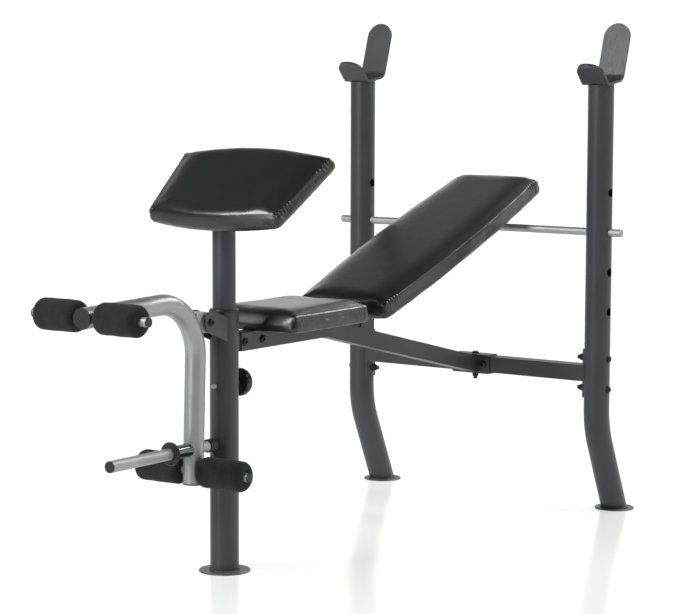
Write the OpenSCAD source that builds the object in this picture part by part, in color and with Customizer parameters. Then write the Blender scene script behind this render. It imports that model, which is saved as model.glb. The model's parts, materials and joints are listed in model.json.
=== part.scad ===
// Adjustable weight bench: a front leg with curl post and leg developer,
// a seat frame, a backrest carried on a cross bar, and two rear uprights.
// Millimetres, +Z up.  The origin is the centre of the front foot on the floor,
// +Y runs towards the rear uprights and +X to the sitter's left.

/* [Frame] */
// Outer diameter of the front leg and the uprights
tube_d = 63.5; // [60:0.5:70]
// Wall of the round tubes
tube_wall = 2; // [1.5:0.5:3]
// Distance from the front leg's axis to the uprights' axes
bench_reach = 1042; // [1000:1:1120]
// Distance between the axes of the two uprights
upright_span = 704; // [640:1:760]
// Height of the front leg's top end
leg_height = 574; // [565:1:590]
// Side of the square frame tubes
box_size = 40; // [36:1:44]
// Wall of the square frame tubes
box_wall = 2.5; // [2:0.5:3]
// Distance from the front leg's top down to the seat tube's centre line
frame_drop = 69; // [64:1:79]
// Height of the crossbar's centre line
crossbar_height = 352; // [335:1:370]
// Distance from the front leg's axis to the knee of the seat tube
knee_reach = 363; // [340:1:390]
// Length of the stub that the seat tube slides onto, from the leg's axis
stub_reach = 135; // [125:1:160]
// Gap all round between the stub and the seat tube
stub_gap = 0.3; // [0.2:0.1:0.5]
// Distance from the leg's rear face to the seat tube's front end
stub_show = 5; // [3:1:8]

/* [Uprights] */
// Height of the uprights' axes at the top end
upright_height = 1063; // [1020:1:1100]
// Height at which the straight leg and the sloping leg would meet
kick_height = 218; // [200:1:240]
// Backward slope of the uprights below that height
kick_angle = 24.6; // [18:0.1:28]
// Centre-line radius of the bend in the uprights
kick_radius = 220; // [150:5:240]
// Number of bar holes in each upright
hole_count = 4; // [3:1:4]
// Height of the lowest bar hole
lowest_hole = 506; // [495:1:515]
// Vertical distance between the bar holes
hole_pitch = 97.5; // [85:0.5:110]
// Radial clearance of the bar in its holes
bar_clearance = 1; // [0.5:0.1:1.5]

/* [Feet] */
// Diameter of the front foot plate
front_foot_d = 114; // [95:1:130]
// Diameter of the rear foot plates
rear_foot_d = 98; // [90:1:110]
// Thickness of the foot plates
foot_thick = 3; // [2:0.5:5]

/* [Bar hooks] */
// Width of the bent strip
hook_width = 72; // [62:1:80]
// Thickness of the bent strip
hook_thick = 6; // [5:0.5:8]
// Slope of the saddle floor, rising to the rear
hook_slope = 8; // [0:1:10]
// Flat floor in front of the upright's axis
hook_front = 22; // [18:1:28]
// Flat floor behind the upright's axis
hook_rear = 31; // [26:1:36]
// Inner radius of the rear bend
hook_bend = 20; // [14:1:26]
// Angle of the tall plate above the floor line
hook_rise = 65; // [55:0.5:75]
// Straight length of the tall plate, to its tip
hook_plate = 129; // [100:1:150]
// Angle of the front lip above the floor line
lip_rise = 56; // [48:1:62]
// Straight length of the front lip
lip_length = 40; // [30:1:46]
// Inner radius of the lip's foot
lip_bend = 8; // [6:1:12]
// Radius of the lip's crest
lip_crest = 50; // [42:1:60]
// Angle through which the crest curls forward
crest_turn = 26; // [18:1:40]

/* [Crossbar joints] */
// Height of the curved end plates
saddle_height = 120; // [110:1:140]
// Width of the curved end plates
saddle_width = 40; // [36:1:46]
// Thickness of the end plates and of the centre bracket
plate_thick = 4; // [3:0.5:5]
// Vertical distance between the two bolts of an upright
saddle_bolts = 76; // [70:1:90]
// Half width of the centre bracket
bracket_half = 54; // [50:1:70]
// Distance of the centre bracket's front bolts from the middle
bracket_bolt = 37.5; // [33:0.5:42]

/* [Adjustment bar] */
// Diameter of the bar that carries the backrest
bar_d = 19; // [16:0.5:22]
// Length of the bar
bar_length = 830; // [810:1:900]
// Pair of holes that the bar is in, counted from the lowest
bar_hole = 2; // [0:1:2]
// Play between the bar and the backrest rail
bar_play = 0.3; // [0.2:0.1:1]

/* [Backrest] */
// Distance from the front leg's axis to the backrest pivot
hinge_reach = 515; // [505:1:530]
// Height of the backrest pivot above the seat tube's centre line
hinge_rise = 25.5; // [24:0.5:31]
// Side of the backrest rail
rail_size = 30; // [28:1:32]
// Wall of the backrest rail
rail_wall = 2; // [1.5:0.5:2.5]
// Length of the rail behind the pivot
rail_length = 610; // [590:1:640]
// Length of the rail in front of the pivot
rail_nose = 15; // [14:0.5:20]
// Distance from the pivot back to the pad's front end
back_overhang = 58; // [50:1:62]
// Length of the backrest pad
back_length = 749; // [700:1:780]
// Width of the backrest pad at its low end
back_width_low = 244; // [220:1:270]
// Width of the backrest pad at its high end
back_width_high = 239; // [210:1:270]
// How far each long side bulges out at its middle
back_bow = 17; // [0:1:20]
// How far each end bulges out at its middle
back_end_bow = 8; // [0:1:9]
// Radius of the ears around the pivot bolt
hinge_ear = 12; // [11:0.5:14]
// Play between the rail and each ear
hinge_play = 0.5; // [0.3:0.1:0.8]

/* [Seat] */
// Distance from the front leg's axis to the seat's front end
seat_reach = 94; // [85:1:105]
// Length of the seat pad
seat_length = 292; // [270:1:300]
// Width of the seat pad at its ends
seat_width = 240; // [220:1:270]
// How far each side bulges out at its middle
seat_bow = 4; // [0:1:8]
// How far each end bulges out at its middle
seat_end_bow = 5; // [0:1:8]

/* [Pads] */
// Height of a pad's sides
pad_side = 33; // [28:1:38]
// Rise of the crowned top above the sides
pad_crown = 17; // [10:1:22]
// How far the sides bulge out at half their height
pad_bulge = 4; // [0:0.5:6]
// Corner radius of the seat and backrest in plan
pad_corner = 10; // [6:1:20]
// Thickness of the plywood boards
board_thick = 12; // [9:1:14]
// How far in from a pad's ends its top starts to roll over
pad_roll = 28; // [22:1:40]
// Distance from a pad's edge in to its board
board_inset = 9; // [7:1:12]
// How far a pad's rim hangs below its board
pad_rim = 2.5; // [2:0.5:3]
// Gap between a pad's rim and the metal under it
rim_gap = 0.5; // [0.3:0.1:0.8]
// Width of the steel straps under the seat and the backrest
strap_width = 30; // [25:1:40]
// Length of those straps
strap_length = 170; // [150:1:190]

/* [Curl post] */
// Outer diameter of the curl post
post_d = 50.8; // [46:0.2:54]
// Distance from the front leg's top down to the curl post's lower end
post_depth = 294; // [284:1:314]
// Radial clearance of the post in its bushing
post_clearance = 0.2; // [0.1:0.05:0.4]
// Thickness of the bushing's flange
flange_thick = 7; // [5:1:9]
// How far the flange stands out past the leg
flange_out = 1; // [0.5:0.5:4]
// Depth of the bushing in the leg
bushing_depth = 60; // [45:1:80]

/* [Curl pad] */
// Slope of the curl pad
curl_slope = 36; // [25:1:40]
// Distance from the post's axis forward to the pad's lower front edge
curl_front = 34.5; // [28:0.5:40]
// Height of the pad's lower front edge above the front leg's top
curl_rise = 192; // [181:1:226]
// Depth of the curl pad along its slope
curl_length = 216; // [190:1:230]
// Width of the curl pad at its low front edge
curl_width_low = 349; // [320:1:370]
// Width of the curl pad at its high rear edge
curl_width_high = 404; // [350:1:410]
// How far the front and rear edges bulge out at their middle
curl_bow = 20; // [0:1:22]
// Height of the curl pad's sides
curl_side = 28; // [24:1:32]
// Rise of the curl pad's crowned top
curl_crown = 13; // [8:1:18]
// Width of the steel plate under the curl pad
curl_plate_width = 160; // [120:1:200]
// Depth of that plate
curl_plate_depth = 110; // [100:1:120]
// Distance from the pad's front edge back to that plate
curl_plate_start = 6; // [4:1:9]

/* [Post lock] */
// Distance from the seat tube's centre line down to the locking knob
knob_drop = 91; // [80:1:110]
// Diameter of the knob
knob_d = 62; // [48:1:66]
// Thickness of the knob
knob_thick = 22; // [16:1:26]
// Number of finger grooves round the knob
knob_grooves = 9; // [6:1:12]
// Length of the threaded boss on the leg
boss_length = 12; // [8:1:16]
// Gap between the screw's tip and the post
tip_gap = 0.3; // [0.2:0.1:0.5]
// Radial clearance of the lock screw in its boss
screw_clearance = 0.1; // [0.05:0.05:0.3]
// Diameter of the guide screw in front of the leg
guide_d = 11; // [8:0.5:12]

/* [Leg developer] */
// Distance from the front leg's axis forward to the developer's pivot
pivot_reach = 78; // [74:1:84]
// Distance from the front leg's top down to the developer's pivot
pivot_drop = 14; // [12:1:22]
// Radius of the clevis ears' round nose
ear_radius = 24; // [21:0.5:26]
// Distance from the pivot back to the centre of that nose
ear_back = 5; // [3:0.5:7]
// Half width over the clevis ears
ear_half = 25; // [24:0.5:27]
// Diameter of the developer's bent tube
developer_d = 45; // [42:1:46]
// Distance from the pivot forward to the top of the developer's shin
shin_offset = 23; // [22:0.5:28]
// Distance from the pivot down to the top of the developer's shin
shin_drop = 74; // [68:1:80]
// Straight length of the shin
shin_length = 274; // [265:1:300]
// Lean of the shin, its foot forward
shin_lean = 2; // [0:0.5:3]
// Centre-line radius of the developer's bend
developer_bend = 118; // [110:1:125]
// Straight length of the upper arm
arm_length = 244; // [225:1:270]
// Drop of the upper arm below level
arm_droop = 1.5; // [0:0.5:3]
// Play between the developer's lug and each ear
lug_play = 0.5; // [0.3:0.1:1]
// Radial clearance of the pivots on their bolts
pivot_clearance = 0.06; // [0.05:0.01:0.1]

/* [Weight tube] */
// Diameter of the tube that carries weight plates
weight_d = 25.4; // [24:0.1:28]
// Height of the weight tube above the lower rollers' axis
weight_rise = 46.85; // [36:0.05:60]
// Length of the tube in front of its stop disc
weight_length = 194; // [150:1:220]
// Distance from the developer's shin axis to the stop disc's front face
stop_reach = 82; // [70:1:95]
// Diameter of the stop disc
stop_d = 51; // [40:1:60]
// Thickness of the stop disc
stop_thick = 6; // [4:1:8]
// Length of the rubber bumper
bumper_length = 30; // [24:1:34]
// Gap between the bumper and the front leg
bumper_gap = 0.3; // [0.2:0.1:0.5]

/* [Rollers] */
// Diameter of the foam rollers
foam_d = 68; // [60:1:72]
// Length of the upper foam rollers
foam_upper = 109; // [90:1:114]
// Length of the lower foam rollers
foam_lower = 117; // [90:1:120]
// Diameter of the tubes that carry the rollers
roller_tube_d = 20; // [18:0.5:22]
// Half length of those tubes
roller_half = 151; // [148:1:160]
// Distance from the upper roller's axis to the arm's end
roller_setback = 25; // [22:1:30]
// Distance from the lower roller's axis to the shin's end
roller_lift = 27; // [24:1:34]
// Gap between a foam roller and the developer's tube
foam_gap = 3.5; // [2:0.5:6]
// Radial clearance of the foam on its tube
foam_clearance = 0.06; // [0.05:0.01:0.1]
// Thickness of a roller tube's end cap
cap_thick = 3; // [2:0.5:4]

/* [Fasteners] */
// Thread diameter of the frame bolts
bolt_d = 10; // [8:1:11]
// Head diameter of the frame bolts
head_d = 18; // [16:1:20]
// Head height of the frame bolts
head_h = 5.5; // [4:0.5:6]
// Height of the lock nuts
nut_h = 9; // [7:0.5:10]
// Shank diameter of the pad screws
screw_d = 6; // [5:0.5:7]

/* [Hidden] */
$fn = 64;

// Colours
steel_grey = [0.24, 0.25, 0.26];
silver = [0.66, 0.67, 0.66];
zinc = [0.72, 0.73, 0.74];
black = [0.07, 0.07, 0.08];
foam_black = [0.14, 0.14, 0.15];
plywood = [0.72, 0.58, 0.40];

// Cuts run this far past the faces that they open
cut = 1;
// Radial clearance of bolts in plain holes
hole_gap = 0.2;
hole_r = bolt_d / 2 + hole_gap;
washer_thick = 2;
washer_d = 2 * bolt_d;
bolt_tail = 6;

// Heights that follow the front leg
frame_height = leg_height - frame_drop;
hinge_height = frame_height + hinge_rise;
knob_height = frame_height - knob_drop;
post_foot = leg_height - post_depth;
curl_height = leg_height + curl_rise;
pivot_height = leg_height - pivot_drop;

// Round tubes
tube_r = tube_d / 2;
tube_bore = tube_r - tube_wall;
post_r = post_d / 2;

// Seat tube: level to the knee, then sloping to the centre bracket
saddle_r = tube_r + plate_thick;
tube_end_y = bench_reach - box_size / 2 - plate_thick;
slope = atan2(frame_height - crossbar_height, tube_end_y - knee_reach);
seat_tube_top = frame_height + box_size / 2;
tube_start_y = tube_r + stub_show;

// Uprights
rear_kick = kick_height * tan(kick_angle);
kick_tangent = kick_radius * tan(kick_angle / 2);
upright_x = upright_span / 2;
hole_heights = [for (i = [0 : hole_count - 1]) lowest_hole + i * hole_pitch];
bar_height = hole_heights[bar_hole];
bar_hole_r = bar_d / 2 + bar_clearance;
bolt_rows = [-saddle_bolts / 2, saddle_bolts / 2];

// Backrest: its rail rests on the bar
hinge_to_bar = norm([bench_reach - hinge_reach, bar_height - hinge_height]);
bar_contact = rail_size / 2 + bar_d / 2 + bar_play;
back_angle = atan2(bar_height - hinge_height, bench_reach - hinge_reach)
           + asin(bar_contact / hinge_to_bar);

// Straps and boards lie on the seat tube and on the rail
strap_thick = pad_rim + rim_gap;
seat_strap_places = [seat_reach + 0.22 * seat_length, seat_reach + 0.78 * seat_length];
back_strap_places = [back_length * 0.25, back_length * 0.7];
strap_screw_x = strap_length / 2 - 15;
screw_bite = board_thick - 3;

// Seat tube bolts through the stub
frame_bolt_places = [tube_start_y + 12, tube_start_y + 76];

// Curl pad
curl_plate_thick = 5;

// Leg developer: points of the bend in the Y-Z plane
developer_r = developer_d / 2;
developer_turn = 90 + shin_lean + arm_droop;
shin_top = [-pivot_reach - shin_offset, pivot_height - shin_drop];
bend_centre = shin_top + developer_bend * [-cos(shin_lean), sin(shin_lean)];
arm_start = bend_centre + developer_bend * [-sin(arm_droop), cos(arm_droop)];
arm_axis = arm_start + (arm_length - roller_setback) * [-cos(arm_droop), -sin(arm_droop)];
shin_axis = shin_top + (shin_length - roller_lift) * [-sin(shin_lean), -cos(shin_lean)];
weight_height = shin_axis[1] + weight_rise;
weight_y = shin_top[0] - (shin_top[1] - weight_height) * tan(shin_lean);
stop_y = weight_y - stop_reach;
lug_half = ear_half - plate_thick - lug_play;
lug_root = 1.8 * developer_r;
bush_r = bolt_d / 2 + 3;
weight_r = weight_d / 2;
// The weight tube is turned down a little from just in front of its stop disc
turn_depth = 0.5;
turn_relief = 0.3;
seat_r = weight_r - turn_depth;
bumper_r = weight_r + 2;
bumper_cup = 14;
roller_r = roller_tube_d / 2;
foam_start = developer_r + foam_gap;
foam_bore = roller_r + foam_clearance;

// ---- placing and basic shapes ----

// Turns a child drawn along +Z to point along another axis
module facing(axis) {
    turn = axis == "+x" ? [0, 90, 0] : axis == "-x" ? [0, -90, 0]
         : axis == "+y" ? [-90, 0, 0] : axis == "-y" ? [90, 0, 0]
         : axis == "-z" ? [180, 0, 0] : [0, 0, 0];
    rotate(turn) children();
}

// Turns a child drawn in the X-Y plane into the Y-Z plane
module side_on() {
    rotate([90, 0, 90]) children();
}

// Both sides of the X-Z or Y-Z mirror plane
module both_sides() {
    children();
    mirror([1, 0, 0]) children();
}

// Straight rod along X, centred on x = 0
module cross_rod(r, length, y, z) {
    translate([0, y, z]) rotate([0, 90, 0]) cylinder(r = r, h = length, center = true);
}

// Side view of the seat tube, at a given distance inside its skin
module seat_tube_side(inset) {
    half = box_size / 2 - inset;
    lift = half / cos(slope);
    knee = half * tan(slope / 2);
    start = inset > 0 ? tube_start_y - cut : tube_start_y;
    finish = inset > 0 ? tube_end_y + cut : tube_end_y;
    end_z = crossbar_height - (finish - tube_end_y) * tan(slope);
    polygon([[start, frame_height - half], [knee_reach - knee, frame_height - half],
             [finish, end_z - lift], [finish, end_z + lift],
             [knee_reach + knee, frame_height + half], [start, frame_height + half]]);
}

// Bent rod in the X-Y plane, its bend centred on the origin: it comes up the Y axis
// to the point x = bend, turns to the left, then runs straight on.  The straight runs
// lap into the bend, which is a hair thicker.
module bent_rod(r, bend, turn, before, after) {
    wide = 4 * bend;
    lap = 0.5;
    translate([bend, lap, 0]) rotate([90, 0, 0]) cylinder(r = r, h = before + lap);
    intersection() {
        rotate_extrude() translate([bend, 0]) circle(r = r + 0.02);
        translate([-wide / 2, 0, -bend]) cube([wide, wide, 2 * bend]);
        rotate([0, 0, turn]) translate([-wide / 2, -wide, -bend]) cube([wide, wide, 2 * bend]);
    }
    rotate([0, 0, turn]) translate([bend, -lap, 0]) rotate([-90, 0, 0])
        cylinder(r = r, h = after + lap);
}

// Flat plate or strap with rounded ends, width along Y and length along X
module strap(length, width, thick) {
    linear_extrude(thick) hull() {
        for (side = [-1, 1]) translate([side * (length - width) / 2, 0]) circle(d = width);
    }
}

// ---- fasteners, drawn with the head's seat at z = 0 and the shank below ----

module button_bolt(length) {
    socket = bolt_d * 0.35;
    difference() {
        union() {
            rotate_extrude()
                polygon([[0, 0], [head_d / 2, 0], [head_d / 2, head_h * 0.35],
                         [head_d * 0.36, head_h * 0.85], [head_d * 0.22, head_h], [0, head_h]]);
            translate([0, 0, -length]) cylinder(d = bolt_d, h = length + cut);
        }
        translate([0, 0, head_h * 0.4]) cylinder(r = socket, h = head_h, $fn = 6);
    }
}

// Lock nut with its washer, seated at z = 0
module lock_nut(flats = 1.75 * bolt_d) {
    difference() {
        union() {
            cylinder(d = washer_d, h = washer_thick);
            translate([0, 0, washer_thick]) cylinder(d = flats, h = nut_h * 0.7, $fn = 6);
            translate([0, 0, washer_thick]) cylinder(d = flats * 0.82, h = nut_h);
        }
        translate([0, 0, -cut]) cylinder(d = bolt_d, h = washer_thick + nut_h + bolt_tail * cut);
    }
}

// Pan-head pad screw that bites into a board, its head's seat at z = 0
module pad_screw(grip) {
    rotate_extrude()
        polygon([[0, -4], [screw_d * 0.6, -4], [screw_d, -2.5], [screw_d, 0],
                 [screw_d / 2, 0], [screw_d / 2, grip + screw_bite], [0, grip + screw_bite]]);
}

// ---- front leg ----

module front_leg() {
    color(steel_grey)
    difference() {
        translate([0, 0, foot_thick]) cylinder(r = tube_r, h = leg_height - foot_thick);
        translate([0, 0, foot_thick - cut]) cylinder(r = tube_bore, h = leg_height);
        translate([0, 0, knob_height]) facing("+y") cylinder(r = hole_r, h = tube_d);
        translate([0, 0, knob_height]) facing("-y") cylinder(d = guide_d * 0.6, h = tube_d);
    }
}

module foot_plate(d) {
    edge = foot_thick * 0.4;
    rotate_extrude()
        polygon([[0, 0], [d / 2, 0], [d / 2, foot_thick - edge], [d / 2 - edge, foot_thick],
                 [0, foot_thick]]);
}

module front_foot() {
    color(steel_grey) foot_plate(front_foot_d);
}

// One ear in side view: a round nose about the pivot, joined by its two tangents
// to a straight edge on the leg
module ear_side() {
    top = pivot_height + ear_radius * 0.1;
    foot = pivot_height - ear_radius * 2.1;
    back = -tube_r * 0.4;
    nose = [ear_back - pivot_reach, pivot_height];
    up = [back, top] - nose;
    down = [back, foot] - nose;
    up_turn = acos(ear_radius / norm(up)) + atan2(up[1], up[0]);
    down_turn = atan2(down[1], down[0]) - acos(ear_radius / norm(down));
    difference() {
        union() {
            translate(nose) circle(r = ear_radius);
            polygon([nose, nose + ear_radius * [cos(down_turn), sin(down_turn)], [back, foot],
                     [back, top], nose + ear_radius * [cos(up_turn), sin(up_turn)]]);
        }
        translate([-pivot_reach, pivot_height]) circle(r = hole_r);
    }
}

module clevis_ears() {
    color(steel_grey)
    difference() {
        both_sides() translate([ear_half - plate_thick, 0, 0])
            side_on() linear_extrude(plate_thick) ear_side();
        cylinder(r = tube_r, h = leg_height);
    }
}

module frame_stub() {
    outer = box_size - 2 * box_wall - 2 * stub_gap;
    inner = outer - 2 * box_wall;
    color(steel_grey)
    difference() {
        translate([-outer / 2, 0, frame_height - outer / 2]) cube([outer, stub_reach, outer]);
        translate([-inner / 2, -cut, frame_height - inner / 2])
            cube([inner, stub_reach + 2 * cut, inner]);
        cylinder(r = tube_r, h = leg_height);
        for (y = frame_bolt_places) cross_rod(hole_r, box_size, y, frame_height);
    }
}

module leg_bushing() {
    bore = post_r + post_clearance;
    color(black)
    rotate_extrude()
        polygon([[bore, leg_height - bushing_depth], [tube_bore, leg_height - bushing_depth],
                 [tube_bore, leg_height], [tube_r + flange_out, leg_height],
                 [tube_r + flange_out, leg_height + flange_thick * 0.6],
                 [tube_r, leg_height + flange_thick], [bore, leg_height + flange_thick]]);
}

// Threaded boss welded to the rear of the leg
module lock_boss() {
    color(steel_grey)
    difference() {
        translate([0, 0, knob_height]) facing("+y")
            cylinder(d = bolt_d * 2, h = tube_r + boss_length);
        translate([0, 0, knob_height]) facing("+y")
            cylinder(r = bolt_d / 2 + screw_clearance, h = tube_d + boss_length);
        cylinder(r = tube_r, h = leg_height);
    }
}

// Guide screw that takes up the post's slack, its round end in front of the leg
module guide_screw() {
    tail = tube_r - post_r - tip_gap;
    color(zinc)
    translate([0, -tube_r, knob_height]) facing("-y")
        rotate_extrude()
            polygon([[0, -tail], [guide_d * 0.3, -tail], [guide_d * 0.3, 0.3],
                     [guide_d / 2, 0.3], [guide_d / 2, guide_d * 0.6],
                     [guide_d * 0.3, guide_d], [0, guide_d]]);
}

// ---- seat frame ----

module seat_tube() {
    color(steel_grey)
    difference() {
        side_on() linear_extrude(box_size, center = true) seat_tube_side(0);
        side_on() linear_extrude(box_size - 2 * box_wall, center = true)
            seat_tube_side(box_wall);
        for (y = frame_bolt_places) cross_rod(hole_r, 2 * box_size, y, frame_height);
    }
}

module frame_bolts() {
    reach = box_size + washer_thick + nut_h + bolt_tail;
    color(black) for (y = frame_bolt_places)
        translate([box_size / 2, y, frame_height]) facing("+x") button_bolt(reach);
}

module frame_nuts() {
    color(black) for (y = frame_bolt_places)
        translate([-box_size / 2, y, frame_height]) facing("-x") lock_nut();
}

// ---- pads: an outline in plan, a board and a crowned cushion ----

// Half outline: points of one bulging edge from p to q
function bulge(p, q, bow, steps = 8) =
    let (along = q - p, out = [along[1], -along[0]] / norm(along))
    [for (i = [0 : steps - 1])
        let (t = i / steps) p + t * along + bow * (1 - pow(2 * t - 1, 2)) * out];

// Pad outline, x across and y along, with the low end at y = 0
module pad_outline(low, high, length, side_bow, end_bow, corner) {
    a = [low / 2, 0];
    b = [high / 2, length];
    c = [-high / 2, length];
    d = [-low / 2, 0];
    offset(r = corner) offset(delta = -corner)
        polygon(concat(bulge(a, b, side_bow), bulge(b, c, end_bow),
                       bulge(c, d, side_bow), bulge(d, a, end_bow)));
}

// Crowned cushion over an outline of a given length: it stands straight at the sides up to
// a rounded edge, and rolls over gently at the ends
module cushion(length, side, crown, spread) {
    layer = 0.2;
    shoulder = side - 5;
    foot = side * 0.35;
    hull() {
        linear_extrude(layer) children();
        translate([0, 0, foot]) linear_extrude(layer) offset(delta = pad_bulge) children();
        for (t = [0, 25, 45, 65, 90]) {
            height = shoulder + (crown + 5) * sin(t);
            inset = spread * pow(1 - cos(t), 1.2);
            roll = pad_roll * (1 - sqrt(1 - pow((height - foot) / (side + crown - foot), 2)));
            shorter = (length - 2 * roll) / (length - 2 * inset);
            translate([0, (1 - shorter) * length / 2, height - layer])
                scale([1, shorter, 1]) linear_extrude(layer)
                    offset(delta = pad_bulge * 0.6 - inset) children();
        }
    }
}

module seat_outline() {
    pad_outline(seat_width, seat_width, seat_length, seat_bow, seat_end_bow, pad_corner,
                $fn = 32);
}

module back_outline() {
    pad_outline(back_width_low, back_width_high, back_length, back_bow, back_end_bow,
                pad_corner, $fn = 32);
}

module curl_outline() {
    pad_outline(curl_width_low, curl_width_high, curl_length, 2, curl_bow, pad_corner,
                $fn = 32);
}

// Board under an outline, its underside at z = pad_rim
module board(holes) {
    difference() {
        translate([0, 0, pad_rim]) linear_extrude(board_thick)
            offset(delta = -board_inset) children();
        for (p = holes) translate([p[0], p[1], 0])
            cylinder(d = screw_d + 0.2, h = pad_rim + screw_bite + 0.2);
    }
}

// Pocket in the cushion's underside that holds the board
module board_pocket() {
    translate([0, 0, -cut]) linear_extrude(cut + pad_rim + board_thick)
        offset(delta = -board_inset + 0.3) children();
}

seat_holes = [for (y = seat_strap_places, s = [-1, 1]) [s * strap_screw_x, y - seat_reach]];
back_holes = [for (y = back_strap_places, s = [-1, 1]) [s * strap_screw_x, y]];
curl_holes = [for (y = [15, curl_plate_depth - 15], s = [-1, 1])
              [s * (curl_plate_width / 2 - 15), curl_plate_start + y]];

module on_seat() {
    translate([0, seat_reach, seat_tube_top + rim_gap]) children();
}

module seat_board() {
    color(plywood) on_seat() board(seat_holes) seat_outline();
}

module seat_pad() {
    color(black) on_seat() difference() {
        cushion(seat_length, pad_side, pad_crown, seat_width * 0.22) seat_outline();
        board_pocket() seat_outline();
    }
}

module seat_straps() {
    color(steel_grey) difference() {
        for (y = seat_strap_places)
            translate([0, y, seat_tube_top]) strap(strap_length, strap_width, strap_thick);
        for (p = seat_holes) translate([p[0], p[1] + seat_reach, seat_tube_top - cut])
            cylinder(d = screw_d + 0.4, h = strap_thick + 2 * cut);
    }
}

module seat_screws() {
    color(zinc) for (p = seat_holes)
        translate([p[0], p[1] + seat_reach, seat_tube_top]) pad_screw(strap_thick);
}

// ---- backrest ----

// Frame of the backrest: origin at the pivot, +Y up along the rail
module on_back() {
    translate([0, hinge_reach, hinge_height]) rotate([back_angle, 0, 0]) children();
}

module on_back_pad() {
    on_back() translate([0, -back_overhang, rail_size / 2 + rim_gap]) children();
}

module back_rail() {
    inner = rail_size - 2 * rail_wall;
    boss = bolt_d / 2 + 4;
    bore = bolt_d / 2 + pivot_clearance;
    color(steel_grey) on_back() difference() {
        union() {
            difference() {
                translate([-rail_size / 2, -rail_nose, -rail_size / 2])
                    cube([rail_size, rail_length + rail_nose, rail_size]);
                translate([-inner / 2, -rail_nose - cut, -inner / 2])
                    cube([inner, rail_length + rail_nose + 2 * cut, inner]);
            }
            cross_rod(boss, rail_size, 0, 0);
        }
        cross_rod(bore, 2 * rail_size, 0, 0);
    }
}

module back_straps() {
    color(steel_grey) on_back() difference() {
        for (y = back_strap_places) translate([0, y - back_overhang, rail_size / 2])
            strap(strap_length, strap_width, strap_thick);
        for (p = back_holes) translate([p[0], p[1] - back_overhang, rail_size / 2 - cut])
            cylinder(d = screw_d + 0.4, h = strap_thick + 2 * cut);
    }
}

module back_screws() {
    color(zinc) on_back() for (p = back_holes)
        translate([p[0], p[1] - back_overhang, rail_size / 2]) pad_screw(strap_thick);
}

module back_board() {
    color(plywood) on_back_pad() board(back_holes) back_outline();
}

module back_pad() {
    color(black) on_back_pad() difference() {
        cushion(back_length, pad_side, pad_crown, back_width_low * 0.26) back_outline();
        board_pocket() back_outline();
    }
}

// Pair of ears that carry the backrest on the sloping part of the seat tube
module hinge_ear_side() {
    nose = [hinge_reach, hinge_height];
    ahead = hinge_reach - 2.2 * hinge_ear;
    behind = hinge_reach + 3.2 * hinge_ear;
    foot = hinge_height - 3 * box_size;
    difference() {
        union() {
            translate(nose) circle(r = hinge_ear);
            polygon([[ahead, foot], [behind, foot],
                     [behind, hinge_height - 1.6 * hinge_ear],
                     nose + hinge_ear * [sin(30), cos(30)],
                     nose + hinge_ear * [-cos(20), sin(20)]]);
        }
        seat_tube_side(0);
        // what would lie below the seat tube
        translate([0, -box_size]) seat_tube_side(0);
        translate([0, -2 * box_size]) seat_tube_side(0);
        translate([0, -3 * box_size]) seat_tube_side(0);
        translate(nose) circle(r = hole_r);
    }
}

module hinge_ears() {
    inner = rail_size / 2 + hinge_play;
    color(steel_grey) both_sides() translate([inner, 0, 0])
        side_on() linear_extrude(plate_thick) hinge_ear_side();
}

module hinge_bolt() {
    half = rail_size / 2 + hinge_play + plate_thick;
    color(black) translate([half, hinge_reach, hinge_height])
        facing("+x") button_bolt(2 * half + washer_thick + nut_h + bolt_tail);
}

module hinge_nut() {
    half = rail_size / 2 + hinge_play + plate_thick;
    color(black) translate([-half, hinge_reach, hinge_height]) facing("-x") lock_nut();
}

// ---- crossbar and uprights ----

module crossbar() {
    inner = box_size - 2 * box_wall;
    color(steel_grey)
    translate([0, bench_reach, crossbar_height]) difference() {
        cube([upright_span, box_size, box_size], center = true);
        cube([upright_span + cut, inner, inner], center = true);
        both_sides() translate([upright_x, 0, 0])
            cylinder(r = saddle_r, h = 2 * box_size, center = true);
        cylinder(r = hole_r, h = 2 * box_size, center = true);
        both_sides() translate([bracket_bolt, 0, 0]) facing("+y")
            cylinder(r = hole_r, h = 2 * box_size, center = true);
    }
}

// Curved plates that seat the crossbar's ends on the uprights
module crossbar_saddles() {
    color(steel_grey) both_sides()
    translate([upright_x, bench_reach, crossbar_height]) difference() {
        cylinder(r = saddle_r, h = saddle_height, center = true);
        cylinder(r = tube_r, h = saddle_height + cut, center = true);
        translate([saddle_r - saddle_width / 2, 0, 0])
            cube([2 * saddle_r, 3 * saddle_r, saddle_height + cut], center = true);
        for (side = [-1, 1]) translate([0, side * (saddle_width / 2 + saddle_r), 0])
            cube([3 * saddle_r, 2 * saddle_r, saddle_height + cut], center = true);
        for (z = bolt_rows) translate([0, 0, z]) facing("-x") cylinder(r = hole_r, h = tube_d);
    }
}

// Channel that wraps the crossbar, welded to the seat tube's end
module centre_bracket() {
    half = box_size / 2;
    depth = box_size - 4;
    color(steel_grey)
    translate([0, bench_reach, crossbar_height]) difference() {
        translate([-bracket_half, -half - plate_thick, -half - plate_thick])
            cube([2 * bracket_half, depth + plate_thick, box_size + 2 * plate_thick]);
        translate([-bracket_half - cut, -half, -half])
            cube([2 * (bracket_half + cut), box_size, box_size]);
        cylinder(r = hole_r, h = 2 * box_size, center = true);
        both_sides() translate([bracket_bolt, 0, 0]) facing("-y")
            cylinder(r = hole_r, h = 2 * box_size);
    }
}

bracket_grip = box_size + 2 * plate_thick;

module bracket_bolts() {
    tail = washer_thick + nut_h + bolt_tail;
    color(black) translate([0, bench_reach, crossbar_height]) {
        translate([0, 0, bracket_grip / 2]) button_bolt(bracket_grip + tail);
        both_sides() translate([bracket_bolt, -bracket_grip / 2, 0])
            facing("-y") button_bolt(box_size + plate_thick + tail);
    }
}

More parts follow.
